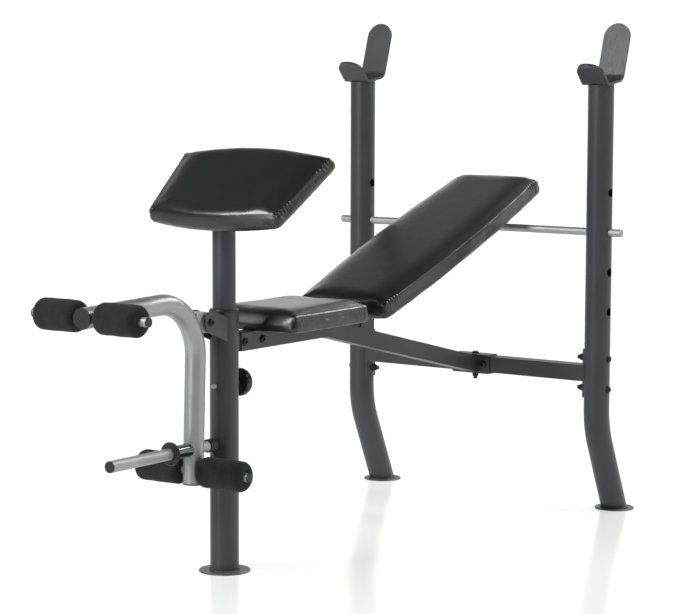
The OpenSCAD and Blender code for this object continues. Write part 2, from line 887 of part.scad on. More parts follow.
module bracket_nuts() {
    color(black) translate([0, bench_reach, crossbar_height]) {
        translate([0, 0, -bracket_grip / 2]) facing("-z") lock_nut();
        both_sides() translate([bracket_bolt, box_size / 2, 0]) facing("+y") lock_nut();
    }
}

// Path of a bent upright as a solid of radius r, in the Y-Z plane through x = 0
module upright_path(r, over) {
    lower = kick_height / cos(kick_angle) - kick_tangent;
    translate([0, bench_reach + kick_radius, kick_height + kick_tangent]) side_on()
        rotate([0, 0, 180]) bent_rod(r, kick_radius, kick_angle, upright_height, lower + over);
}

// Everything above the sloping seat that the hook is welded to
module above_hook_seat() {
    translate([0, bench_reach, upright_height]) rotate([hook_slope, 0, 0])
        translate([-tube_d, -tube_d * 2, 0])
            cube([2 * tube_d, 4 * tube_d, 2 * upright_height]);
}

module upright() {
    color(steel_grey) difference() {
        upright_path(tube_r, tube_d);
        upright_path(tube_bore, 2 * tube_d);
        above_hook_seat();
        // floor
        translate([-tube_d, bench_reach - tube_d, -2 * tube_d])
            cube([2 * tube_d, 4 * tube_d + rear_kick, 2 * tube_d + foot_thick]);
        translate([0, bench_reach, 0]) {
            for (z = hole_heights) cross_rod(bar_hole_r, 2 * tube_d, 0, z);
            for (z = bolt_rows) cross_rod(hole_r, 2 * tube_d, 0, crossbar_height + z);
        }
    }
}

module upright_left() {
    translate([-upright_x, 0, 0]) upright();
}

module upright_right() {
    translate([upright_x, 0, 0]) upright();
}

module rear_foot(side) {
    color(steel_grey) translate([side * upright_x, bench_reach + rear_kick, 0])
        foot_plate(rear_foot_d);
}

module rear_foot_left() {
    rear_foot(-1);
}

module rear_foot_right() {
    rear_foot(1);
}

module upright_bolts() {
    reach = tube_d + plate_thick + washer_thick + nut_h + bolt_tail;
    color(black) both_sides() for (z = bolt_rows)
        translate([upright_x + tube_r, bench_reach, crossbar_height + z])
            facing("+x") button_bolt(reach);
}

module upright_nuts() {
    color(black) both_sides() for (z = bolt_rows)
        translate([upright_x - saddle_r, bench_reach, crossbar_height + z])
            facing("-x") lock_nut();
}

// ---- bar hooks: a strip bent in side view, with round ends ----

// Sector of a ring, from angle a to angle b, at most a quarter turn, a hair thicker
// than the strip
module ring_sector(inner, a, b) {
    outer = inner + hook_thick;
    hair = 0.01;
    intersection() {
        difference() {
            circle(r = outer + hair);
            circle(r = inner - hair);
        }
        rotate(a) square(2 * outer);
        rotate(b) translate([0, -2 * outer]) square(2 * outer);
    }
}

// Side view of the hook: x forward to rear, y up, floor's underside at y = 0
module hook_side() {
    turn_in = lip_bend + hook_thick;
    translate([-hook_front, 0]) square([hook_front + hook_rear, hook_thick]);
    translate([hook_rear, hook_bend + hook_thick]) {
        ring_sector(hook_bend, -90, hook_rise - 90);
        rotate(hook_rise - 90) translate([hook_bend, 0]) square([hook_thick, hook_plate]);
    }
    translate([-hook_front, turn_in]) {
        ring_sector(lip_bend, -90 - lip_rise, -90);
        rotate(-90 - lip_rise) translate([lip_bend, -lip_length])
            square([hook_thick, lip_length]);
        rotate(-90 - lip_rise) translate([turn_in + lip_crest, -lip_length])
            rotate(180) ring_sector(lip_crest, 0, crest_turn);
    }
}

// Tip of the lip, at the middle of the strip, and the slope that its round end lies on
crest_middle = lip_crest + hook_thick / 2;
tip_out = lip_bend + hook_thick + lip_crest - crest_middle * cos(crest_turn);
tip_along = lip_length + crest_middle * sin(crest_turn);
lip_tip = [-hook_front - tip_out * sin(lip_rise) - tip_along * cos(lip_rise),
           lip_bend + hook_thick - tip_out * cos(lip_rise) + tip_along * sin(lip_rise)];
lip_slope = lip_rise - crest_turn / 2;

module hook() {
    half = hook_width / 2;
    plate_foot = [hook_rear, hook_bend + hook_thick];
    tall = 4 * hook_plate;
    nose = 1.02 * half;
    deep = 40;
    color(steel_grey)
    translate([0, bench_reach, upright_height]) rotate([hook_slope, 0, 0])
    difference() {
        intersection() {
            side_on() linear_extrude(hook_width, center = true) hook_side();
            // face outline of the tall plate, round at its tip
            translate([0, plate_foot[0], plate_foot[1]]) rotate([hook_rise - 90, 0, 0]) {
                translate([0, 0, hook_plate - half]) facing("-y")
                    cylinder(r = half, h = tall, center = true);
                translate([-half, -tall / 2, -tall + hook_plate - half])
                    cube([hook_width, tall, tall]);
            }
        }
        // corners off the lip, round at its tip
        translate([0, lip_tip[0], lip_tip[1]]) rotate([180 - lip_slope, 0, 0]) difference() {
            translate([-half - cut, cut - half, -deep])
                cube([hook_width + 2 * cut, hook_width, 2 * deep]);
            translate([0, -nose, -deep - cut]) cylinder(r = nose, h = 2 * (deep + cut));
        }
    }
}

module hook_left() {
    translate([-upright_x, 0, 0]) hook();
}

module hook_right() {
    translate([upright_x, 0, 0]) hook();
}

// ---- adjustment bar ----

module adjustment_bar() {
    edge = 1.5;
    half = bar_length / 2;
    r = bar_d / 2;
    color(zinc) translate([0, bench_reach, bar_height]) facing("+x")
        rotate_extrude()
            polygon([[0, -half], [r - edge, -half], [r, -half + edge], [r, half - edge],
                     [r - edge, half], [0, half]]);
}

// ---- curl post and pad ----

// Frame of the curl pad: origin at its lower front edge, +Y up the slope
module on_curl() {
    translate([0, -curl_front, curl_height]) rotate([curl_slope, 0, 0]) children();
}

module curl_post() {
    color(steel_grey) difference() {
        translate([0, 0, post_foot]) cylinder(r = post_r, h = curl_height);
        translate([0, 0, post_foot - cut]) cylinder(r = post_r - tube_wall, h = 2 * curl_height);
        on_curl() translate([-2 * post_d, -curl_height, pad_rim - curl_plate_thick])
            cube([4 * post_d, 2 * curl_height, 2 * curl_height]);
    }
}

module curl_plate() {
    color(steel_grey) on_curl() difference() {
        translate([-curl_plate_width / 2, curl_plate_start, pad_rim - curl_plate_thick])
            cube([curl_plate_width, curl_plate_depth, curl_plate_thick]);
        for (p = curl_holes) translate([p[0], p[1], -curl_plate_thick])
            cylinder(d = screw_d + 0.4, h = 3 * curl_plate_thick);
    }
}

module curl_board() {
    color(plywood) on_curl() board(curl_holes) curl_outline();
}

module curl_pad() {
    color(black) on_curl() difference() {
        cushion(curl_length, curl_side, curl_crown, curl_length * 0.3) curl_outline();
        board_pocket() curl_outline();
    }
}

module curl_screws() {
    color(zinc) on_curl() for (p = curl_holes)
        translate([p[0], p[1], pad_rim - curl_plate_thick]) pad_screw(curl_plate_thick);
}

// ---- post lock ----

knob_start = tube_r + boss_length + 2;
knob_insert = knob_thick * 0.6;

module lock_screw() {
    color(zinc) translate([0, post_r + tip_gap, knob_height]) facing("+y")
        cylinder(d = bolt_d, h = knob_start + knob_insert - post_r - tip_gap);
}

module lock_knob() {
    r = knob_d / 2;
    groove = knob_d * 0.13;
    bevel = knob_thick * 0.3;
    color(black) translate([0, knob_start, knob_height]) facing("+y") difference() {
        rotate_extrude()
            polygon([[0, 0], [r - bevel / 2, 0], [r, bevel / 2], [r, knob_thick - 1.4 * bevel],
                     [r - 0.3 * bevel, knob_thick - 0.6 * bevel],
                     [r - bevel, knob_thick - 0.1 * bevel], [r - 2 * bevel, knob_thick],
                     [0, knob_thick]]);
        for (i = [0 : knob_grooves - 1]) rotate(90 + i * 360 / knob_grooves)
            translate([r + groove * 0.72, 0, -cut]) cylinder(r = groove, h = knob_thick + 2 * cut);
        translate([0, 0, -cut]) cylinder(r = bolt_d / 2 + screw_clearance, h = knob_insert + cut);
    }
}

// ---- leg developer ----

// Frame of the developer's bend: the shin comes up the Y axis at x = developer_bend
module on_bend() {
    translate([0, bend_centre[0], bend_centre[1]]) side_on() rotate([0, 0, -shin_lean])
        children();
}

// Bent tube of the developer as a solid of radius r, drawn 'over' past both ends
module developer_path(r, over) {
    on_bend() bent_rod(r, developer_bend, developer_turn, shin_length + over, arm_length + over);
}

module developer_tube() {
    color(silver) difference() {
        developer_path(developer_r, 0);
        developer_path(developer_r - tube_wall, cut);
        for (axis = [arm_axis, shin_axis]) cross_rod(roller_r, 2 * developer_d, axis[0], axis[1]);
        translate([0, weight_y, weight_height]) facing("+y")
            cylinder(r = seat_r, h = 2 * developer_d, center = true);
    }
}

// Plastic plug for the end of a developer tube, its flange at z = 0
module tube_plug() {
    cylinder(r = developer_r, h = cap_thick);
    translate([0, 0, -12]) cylinder(r = developer_r - tube_wall, h = 12 + cut);
}

module developer_caps() {
    color(black) on_bend() {
        translate([developer_bend, -shin_length, 0]) rotate([90, 0, 0]) tube_plug();
        rotate([0, 0, developer_turn]) translate([developer_bend, arm_length, 0])
            rotate([-90, 0, 0]) tube_plug();
    }
}

// Lug that hangs the developer between the clevis ears
module developer_lug() {
    height = 2 * ear_radius - 4;
    color(silver) difference() {
        union() {
            cross_rod(height / 2, 2 * lug_half, -pivot_reach, pivot_height);
            translate([-lug_half + 3, -pivot_reach - lug_root, pivot_height - height / 2])
                cube([2 * lug_half - 6, lug_root, height]);
        }
        developer_path(developer_r, 0);
        cross_rod(bush_r, 3 * ear_half, -pivot_reach, pivot_height);
    }
}

module pivot_bushes() {
    bore = bolt_d / 2 + pivot_clearance;
    color(black) both_sides() translate([0, -pivot_reach, pivot_height]) facing("+x")
        rotate_extrude()
            polygon([[bore, 4], [bush_r, 4], [bush_r, lug_half], [bore, lug_half]]);
}

module pivot_bolt() {
    color(black) translate([ear_half, -pivot_reach, pivot_height]) facing("+x")
        button_bolt(2 * ear_half + washer_thick + nut_h + bolt_tail);
}

module pivot_nut() {
    color(black) translate([-ear_half, -pivot_reach, pivot_height]) facing("-x") lock_nut();
}

// ---- weight tube ----

weight_start = stop_y - weight_length;
bumper_end = -tube_r - bumper_gap;
weight_end = bumper_end - bumper_length + bumper_cup;

module weight_tube() {
    color(zinc) translate([0, weight_start, weight_height]) facing("+y") difference() {
        union() {
            cylinder(r = weight_r, h = weight_length - turn_relief);
            cylinder(r = seat_r, h = weight_end - weight_start);
        }
        translate([0, 0, -cut])
            cylinder(r = weight_r - tube_wall, h = weight_end - weight_start + 2 * cut);
    }
}

module weight_disc() {
    edge = 1.5;
    r = stop_d / 2;
    color(black) translate([0, stop_y, weight_height]) facing("+y")
        rotate_extrude()
            polygon([[seat_r, 0], [r - edge, 0], [r, edge], [r, stop_thick - edge],
                     [r - edge, stop_thick], [seat_r, stop_thick]]);
}

module weight_collar() {
    color(steel_grey) difference() {
        translate([0, stop_y + stop_thick, weight_height]) facing("+y")
            cylinder(r = weight_r + 2.5, h = stop_reach - stop_thick);
        translate([0, stop_y, weight_height]) facing("+y")
            cylinder(r = seat_r, h = 2 * stop_reach);
        developer_path(developer_r, 0);
    }
}

module weight_cap() {
    color(black) translate([0, weight_start, weight_height]) facing("-y") {
        cylinder(r = seat_r, h = cap_thick);
        translate([0, 0, -12]) cylinder(r = weight_r - tube_wall, h = 12 + cut);
    }
}

// Rubber cup on the weight tube's rear end, with a domed face towards the leg
module leg_bumper() {
    start = bumper_end - bumper_length;
    wall_end = bumper_length - bumper_cup;
    color(black) translate([0, start, weight_height]) facing("+y")
        rotate_extrude()
            polygon([[seat_r, 0], [bumper_r, 0], [bumper_r, bumper_length - 9],
                     [bumper_r - 2, bumper_length - 5], [bumper_r - 6, bumper_length - 1],
                     [bumper_r - 9, bumper_length], [0, bumper_length],
                     [0, bumper_cup], [seat_r, bumper_cup]]);
}

// ---- rollers ----

module roller_tube(axis) {
    difference() {
        cross_rod(roller_r, 2 * roller_half, axis[0], axis[1]);
        cross_rod(roller_r - tube_wall, 2 * roller_half + cut, axis[0], axis[1]);
    }
}

module roller_tubes() {
    color(zinc) {
        roller_tube(arm_axis);
        roller_tube(shin_axis);
    }
}

module roller_caps() {
    color(black) both_sides() for (axis = [arm_axis, shin_axis])
        translate([roller_half, axis[0], axis[1]]) facing("+x") {
            cylinder(r = roller_r, h = cap_thick);
            translate([0, 0, -10]) cylinder(r = roller_r - tube_wall, h = 10 + cut);
        }
}

// Foam roller with rounded rims, on one side of an axis
module foam_roller(axis, side, length) {
    r = foam_d / 2;
    rim = 6;
    color(foam_black) translate([side * foam_start, axis[0], axis[1]])
        facing(side > 0 ? "+x" : "-x") rotate_extrude()
            polygon([[foam_bore, 0], [r - rim, 0], [r - rim * 0.3, rim * 0.3], [r, rim],
                     [r, length - rim], [r - rim * 0.3, length - rim * 0.3],
                     [r - rim, length], [foam_bore, length]]);
}

module foam_upper_left() {
    foam_roller(arm_axis, -1, foam_upper);
}

module foam_upper_right() {
    foam_roller(arm_axis, 1, foam_upper);
}

module foam_lower_left() {
    foam_roller(shin_axis, -1, foam_lower);
}

module foam_lower_right() {
    foam_roller(shin_axis, 1, foam_lower);
}

front_leg();
front_foot();
clevis_ears();
frame_stub();
leg_bushing();
lock_boss();
guide_screw();
seat_tube();
seat_straps();
seat_board();
seat_pad();
seat_screws();
frame_bolts();
frame_nuts();
hinge_ears();
hinge_bolt();
hinge_nut();
crossbar();
crossbar_saddles();
centre_bracket();
bracket_bolts();
bracket_nuts();
upright_left();
upright_right();
rear_foot_left();
rear_foot_right();
upright_bolts();
upright_nuts();
hook_left();
hook_right();
curl_post();
curl_plate();
curl_board();
curl_pad();
curl_screws();
lock_screw();
lock_knob();
developer_tube();
developer_lug();
developer_caps();
pivot_bushes();
pivot_bolt();
pivot_nut();
weight_tube();
weight_collar();
weight_disc();
weight_cap();
leg_bumper();
roller_tubes();
roller_caps();
foam_upper_left();
foam_upper_right();
foam_lower_left();
foam_lower_right();
back_rail();
back_straps();
back_board();
back_pad();
back_screws();
adjustment_bar();
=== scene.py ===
import json
import math
import bmesh
import bpy
import numpy as np
from mathutils import Matrix, Vector, noise


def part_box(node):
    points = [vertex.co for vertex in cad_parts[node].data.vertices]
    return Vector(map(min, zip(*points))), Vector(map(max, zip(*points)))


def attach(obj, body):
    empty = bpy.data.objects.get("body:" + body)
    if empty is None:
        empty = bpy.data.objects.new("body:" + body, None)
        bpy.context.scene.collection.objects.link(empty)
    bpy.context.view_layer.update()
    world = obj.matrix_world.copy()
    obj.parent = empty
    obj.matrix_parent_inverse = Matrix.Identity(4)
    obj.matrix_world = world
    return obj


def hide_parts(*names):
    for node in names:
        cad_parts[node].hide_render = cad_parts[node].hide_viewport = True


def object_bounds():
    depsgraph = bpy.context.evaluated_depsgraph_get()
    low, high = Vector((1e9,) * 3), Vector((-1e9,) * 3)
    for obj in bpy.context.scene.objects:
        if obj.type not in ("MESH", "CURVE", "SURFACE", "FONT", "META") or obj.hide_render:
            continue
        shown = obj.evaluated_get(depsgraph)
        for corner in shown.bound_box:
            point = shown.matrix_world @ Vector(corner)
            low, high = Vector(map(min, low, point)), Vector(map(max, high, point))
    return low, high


# Looks of the adjustable weight bench. The CAD nodes get materials; the pads, foam rollers,
# weld beads and staples are modelled here. All lengths are metres in the CAD's own frame.

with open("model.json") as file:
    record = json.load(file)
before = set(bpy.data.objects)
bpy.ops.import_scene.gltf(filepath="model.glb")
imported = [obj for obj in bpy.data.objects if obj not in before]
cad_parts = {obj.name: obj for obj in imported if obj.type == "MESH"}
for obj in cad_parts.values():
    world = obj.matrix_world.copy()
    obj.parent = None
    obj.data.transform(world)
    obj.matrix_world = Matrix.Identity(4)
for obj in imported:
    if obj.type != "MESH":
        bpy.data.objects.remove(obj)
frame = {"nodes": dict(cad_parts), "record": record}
nodes = frame["nodes"]
record = frame["record"]
scene = bpy.context.scene
cad_low, cad_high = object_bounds()
body_of_node = {n: b for b, names in record["behaviour"]["bodies"].items() for n in names}


# ---- camera, solved from the photograph's parallel tubes and uprights ----

def add_camera():
    right = Vector((0.8205019, 0.5716321, 0.0036609)).normalized()
    back = Vector((0.5679147, -0.8158628, 0.1088153)).normalized()
    eye = Vector((3.17375, -4.07855, 1.15089))
    up = back.cross(right).normalized()
    right = up.cross(back)
    data = bpy.data.cameras.new("camera")
    data.sensor_fit = "HORIZONTAL"
    data.sensor_width = 36.0
    data.lens = 122.36
    data.clip_start = 0.1
    data.clip_end = 60.0
    camera = bpy.data.objects.new("camera", data)
    scene.collection.objects.link(camera)
    pose = Matrix((right, up, back)).transposed().to_4x4()
    pose.translation = eye
    camera.matrix_world = pose
    scene.camera = camera


add_camera()


# ---- materials; noise scales are per metre, bump distances in metres ----

def set_range(node, low, high, to_low, to_high):
    """Fill in the four limits of a Map Range node."""
    node.inputs["From Min"].default_value = low
    node.inputs["From Max"].default_value = high
    node.inputs["To Min"].default_value = to_low
    node.inputs["To Max"].default_value = to_high


class Shader:
    """Node graph of one material, with its main shader and object coordinates. The colour
    and roughness given first are the plain values, which a linked node then varies."""

    def __init__(self, name, color, rough, metallic=0.0, specular=0.5):
        self.mat = bpy.data.materials.new(name)
        self.mat.use_nodes = True
        self.tree = self.mat.node_tree
        self.main = next(n for n in self.tree.nodes if n.type == "BSDF_PRINCIPLED")
        self.set("Base Color", (*color, 1))
        self.set("Roughness", rough)
        self.set("Metallic", metallic)
        self.set("Specular IOR Level", specular)
        self.coords = self.tree.nodes.new("ShaderNodeTexCoord").outputs["Object"]

    def set(self, name, value):
        """Give the main shader's socket a value that is the same everywhere."""
        self.main.inputs[name].default_value = value

    def to(self, name, value):
        """Drive the main shader's socket from another node's output."""
        self.link(value, self.main.inputs[name])

    def add(self, kind, **values):
        node = self.tree.nodes.new("ShaderNode" + kind)
        for key, value in values.items():
            setattr(node, key, value)
        return node

    def link(self, a, b):
        self.tree.links.new(a, b)

    def stretched(self, stretch):
        if stretch is None:
            return self.coords
        node = self.add("Mapping")
        node.inputs["Scale"].default_value = stretch
        self.link(self.coords, node.inputs["Vector"])
        return node.outputs["Vector"]

    def noise(self, scale, detail=3.0, rough=0.5, stretch=None, distort=0.0):
        node = self.add("TexNoise")
        node.inputs["Scale"].default_value = scale
        node.inputs["Detail"].default_value = detail
        node.inputs["Roughness"].default_value = rough
        node.inputs["Distortion"].default_value = distort
        self.link(self.stretched(stretch), node.inputs["Vector"])
        return node.outputs["Fac"]

    def cells(self, scale, feature="F1"):
        node = self.add("TexVoronoi", feature=feature)
        node.inputs["Scale"].default_value = scale
        self.link(self.coords, node.inputs["Vector"])
        return node.outputs["Distance"]

    def remap(self, value, low, high, to_low, to_high):
        node = self.add("MapRange")
        set_range(node, low, high, to_low, to_high)
        self.link(value, node.inputs["Value"])
        return node.outputs["Result"]

    def tint(self, fac, dark, light, low=0.3, high=0.7):
        node = self.add("ValToRGB")
        for end, place, color in zip(node.color_ramp.elements, (low, high), (dark, light)):
            end.position = place
            end.color = (*color, 1)
        self.link(fac, node.inputs["Fac"])
        return node.outputs["Color"]

    def bump(self, height, distance, strength=1.0):
        """Add a bump, on top of any bump that is there already."""
        node = self.add("Bump")
        node.inputs["Distance"].default_value = distance
        node.inputs["Strength"].default_value = strength
        self.link(height, node.inputs["Height"])
        normal = self.main.inputs["Normal"]
        if normal.is_linked:
            self.link(normal.links[0].from_socket, node.inputs["Normal"])
        self.link(node.outputs["Normal"], normal)


def powder_coat():
    s = Shader("charcoal_powder_coat", (0.045, 0.049, 0.053), 0.42)
    s.to("Base Color", s.tint(s.noise(9, 4), (0.034, 0.038, 0.043), (0.044, 0.049, 0.055)))
    scuffs = s.noise(150, 6, 0.65, stretch=(1, 1, 0.2))
    s.to("Roughness", s.remap(scuffs, 0.35, 0.75, 0.38, 0.46))
    s.bump(s.noise(900, 2), 0.00006)
    s.bump(s.noise(240, 1), 0.00003)
    return s.mat


def worn_coat_painted_reflection():
    """Powder coat of the foot plates: worn patches from the floor, and a base painted lighter than the
    charcoal coat as a painted reflection of the bright backdrop on their tops.
    """
    # painted reflection: the base and both ends of the tint below are lighter than the charcoal coat,
    # standing for the bright backdrop reflected in the plates' tops; the noise adds worn patches
    s = Shader("worn_powder_coat_painted_reflection", (0.075, 0.08, 0.085), 0.4)
    wear_and_reflection_patches = s.noise(45, 6, 0.7)
    s.to("Base Color", s.tint(wear_and_reflection_patches, (0.075, 0.080, 0.087), (0.16, 0.165, 0.17), 0.4, 0.75))
    s.to("Roughness", s.remap(wear_and_reflection_patches, 0.35, 0.7, 0.34, 0.5))
    s.bump(s.noise(700, 2), 0.00005)
    return s.mat


def black_chrome():
    """Collar on the weight tube."""
    s = Shader("black_chrome", (0.16, 0.16, 0.19), 0.2, metallic=0.9)
    s.to("Base Color", s.tint(s.noise(30, 3), (0.13, 0.13, 0.16), (0.18, 0.18, 0.21)))
    s.to("Roughness", s.remap(s.noise(90, 4), 0.3, 0.7, 0.15, 0.26))
    s.bump(s.noise(500, 2), 0.00002)
    return s.mat


def silver_coat():
    s = Shader("silver_metallic_paint", (0.36, 0.365, 0.36), 0.38, metallic=0.75)
    s.to("Base Color", s.tint(s.noise(14, 3), (0.335, 0.34, 0.335), (0.385, 0.39, 0.385)))
    flakes = s.cells(2600)
    s.to("Roughness", s.remap(flakes, 0.0, 0.8, 0.32, 0.42))
    s.bump(flakes, 0.00002)
    s.bump(s.noise(300, 1), 0.00003)
    return s.mat


def zinc():
    s = Shader("bright_zinc", (0.42, 0.43, 0.44), 0.5, metallic=0.7)
    s.to("Base Color", s.tint(s.noise(35, 5), (0.37, 0.38, 0.39), (0.47, 0.48, 0.49)))
    s.to("Roughness", s.remap(s.noise(120, 4, 0.6), 0.3, 0.7, 0.44, 0.56))
    s.bump(s.noise(700, 2, stretch=(0.05, 1, 1)), 0.00003)
    return s.mat


def dark_bolt():
    s = Shader("black_oxide", (0.02, 0.021, 0.022), 0.38, metallic=0.6)
    worn = s.noise(200, 4)
    s.to("Base Color", s.tint(worn, (0.013, 0.014, 0.015), (0.045, 0.046, 0.048), 0.35, 0.8))
    s.to("Roughness", s.remap(s.noise(500, 3), 0.3, 0.7, 0.3, 0.48))
    s.bump(s.noise(1200, 2), 0.00003)
    return s.mat


def moulded_plastic():
    s = Shader("black_moulded_plastic", (0.012, 0.012, 0.013), 0.42)
    s.to("Base Color", s.tint(s.noise(20, 3), (0.010, 0.010, 0.011), (0.017, 0.017, 0.018)))
    grain = s.cells(1500)
    s.to("Roughness", s.remap(grain, 0.0, 0.8, 0.36, 0.5))
    s.bump(grain, 0.00005)
    return s.mat


def rubber():
    s = Shader("black_rubber", (0.014, 0.014, 0.015), 0.62)
    s.to("Base Color", s.tint(s.noise(40, 4), (0.011, 0.011, 0.012), (0.020, 0.020, 0.021)))
    s.bump(s.noise(600, 3), 0.00008)
    return s.mat


def vinyl():
    s = Shader("black_vinyl", (0.010, 0.0105, 0.0115), 0.34)
    s.set("Coat Weight", 0.35)
    s.set("Coat Roughness", 0.2)
    s.to("Base Color", s.tint(s.noise(7, 3), (0.0085, 0.009, 0.010), (0.012, 0.0125, 0.0135)))
    pores = s.cells(620, "SMOOTH_F1")
    wear = s.noise(26, 5, 0.6)
    s.to("Roughness", s.remap(wear, 0.3, 0.7, 0.28, 0.37))
    s.bump(pores, 0.00022, 0.6)
    s.bump(s.noise(160, 3), 0.0003, 0.5)
    s.bump(s.noise(34, 2), 0.0006, 0.25)
    return s.mat


def foam():
    s = Shader("black_foam", (0.018, 0.0185, 0.0195), 0.9, specular=0.25)
    skin = s.noise(60, 5, 0.65)
    s.to("Base Color", s.tint(skin, (0.009, 0.0093, 0.010), (0.018, 0.0185, 0.0195)))
    s.set("Sheen Weight", 0.05)
    s.set("Sheen Roughness", 0.6)
    s.bump(s.cells(1100), 0.0004, 0.8)
    s.bump(s.noise(260, 4), 0.0004, 0.6)
    return s.mat


def wood():
    s = Shader("plywood", (0.22, 0.16, 0.10), 0.7, specular=0.3)
    grain = s.noise(9, 8, 0.62, stretch=(11, 1, 11), distort=0.6)
    s.to("Base Color", s.tint(grain, (0.13, 0.095, 0.060), (0.28, 0.205, 0.13), 0.32, 0.68))
    s.to("Roughness", s.remap(grain, 0.3, 0.7, 0.62, 0.8))
    s.bump(grain, 0.0002)
    return s.mat


looks = {
    "charcoal_paint": powder_coat(), "silver_paint": silver_coat(), "black_bolts": dark_bolt(),
    "zinc_plate": zinc(), "black_plastic": moulded_plastic(), "black_rubber": rubber(),
    "black_vinyl": vinyl(), "plywood": wood(), "black_foam": foam(),
}
slot_of = {p["node"]: p["material_slot"] for p in record["subparts"]}
# the foot plates get a lighter copy of the coat: painted reflection, with worn patches
foot_coat_painted_reflection = worn_coat_painted_reflection()
own_look = {"front_foot": foot_coat_painted_reflection, "rear_foot_left": foot_coat_painted_reflection, "rear_foot_right": foot_coat_painted_reflection,
            "weight_collar": black_chrome()}
for name, node in nodes.items():
    node.data.materials.clear()
    node.data.materials.append(own_look.get(name, looks[slot_of[name]]))


# ---- meshes and pieces ----

def in_scene(name, mesh):
    obj = bpy.data.objects.new(name, mesh)
    scene.collection.objects.link(obj)
    return obj


def new_piece(name, mesh, slot, body):
    """Smooth-shaded visible piece that moves with a body."""
    mesh.materials.clear()
    mesh.materials.append(looks[slot])
    for face in mesh.polygons:
        face.use_smooth = True
    piece = in_scene(name, mesh)
    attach(piece, body)
    return piece


def baked(obj):
    """Mesh of an object with its modifiers applied; the object is removed."""
    depsgraph = bpy.context.evaluated_depsgraph_get()
    mesh = bpy.data.meshes.new_from_object(obj.evaluated_get(depsgraph))
    bpy.data.objects.remove(obj)
    return mesh


def mesh_of(name, bm):
    mesh = bpy.data.meshes.new(name)
    bm.to_mesh(mesh)
    bm.free()
    return mesh


def closed_mesh(name, verts, faces):
    """Mesh of a closed surface, its faces turned outward."""
    mesh = bpy.data.meshes.new(name)
    mesh.from_pydata([tuple(v) for v in verts], [], faces)
    bm = bmesh.new()
    bm.from_mesh(mesh)
    bmesh.ops.recalc_face_normals(bm, faces=bm.faces)
    bm.to_mesh(mesh)
    bm.free()
    return mesh


def points_of(mesh):
    co = np.zeros(len(mesh.vertices) * 3, np.float32)
    mesh.vertices.foreach_get("co", co)
    return co.reshape(-1, 3).astype(float)


def normals_of(mesh):
    mesh.update()
    normals = np.zeros(len(mesh.vertices) * 3, np.float32)
    mesh.vertex_normals.foreach_get("vector", normals)
    return normals.reshape(-1, 3).astype(float)


def set_points(mesh, co):
    mesh.vertices.foreach_set("co", np.asarray(co, np.float32).ravel())
    mesh.update()


def noise_at(x, y, z):
    """Smooth noise, about -1 to 1, at points given by columns or single numbers."""
    return np.array([noise.noise(Vector(p)) for p in zip(*np.broadcast_arrays(x, y, z))])


def bell(x, width):
    return np.exp(-(x / width) ** 2)


def step(x, low, high):
    """Smooth step from 0 at low to 1 at high."""
    t = np.clip((x - low) / (high - low), 0, 1)
    return t * t * (3 - 2 * t)


def circle(count=96):
    return [2 * math.pi * i / count for i in range(count)]


# ---- plan of a pad ----

def pad_axes(node):
    """Across, along and up axes of a pad, and its underside's height along up."""
    mesh = nodes[node].data
    area = {}
    normal = {}
    for face in mesh.polygons:
        if face.normal.z < -0.5:
            key = tuple(round(x, 2) for x in face.normal)
            area[key] = area.get(key, 0) + face.area
            normal[key] = face.normal.copy()
    up = -normal[max(area, key=area.get)]
    across = Vector((1, 0, 0))
    along = up.cross(across).normalized()
    low = min(v.co.dot(up) for v in mesh.vertices)
    return np.array([across, along, up]), low


def board_underside(node, axes):
    """Height of the underside of a pad's board along the pad's up axis."""
    board = nodes[node.replace("_pad", "_board")]
    return (points_of(board.data) @ axes.T)[:, 2].min()


def convex_ring(flat):
    """Convex outline of flat points, counterclockwise."""
    pts = sorted(set(map(tuple, np.round(flat, 5))))

    def turns_left(a, b, c):
        return (b[0] - a[0]) * (c[1] - a[1]) - (b[1] - a[1]) * (c[0] - a[0]) > 0

    def half(seq):
        out = []
        for p in seq:
            while len(out) > 1 and not turns_left(out[-2], out[-1], p):
                out.pop()
            out.append(p)
        return out[:-1]

    return np.array(half(pts) + half(pts[::-1]))


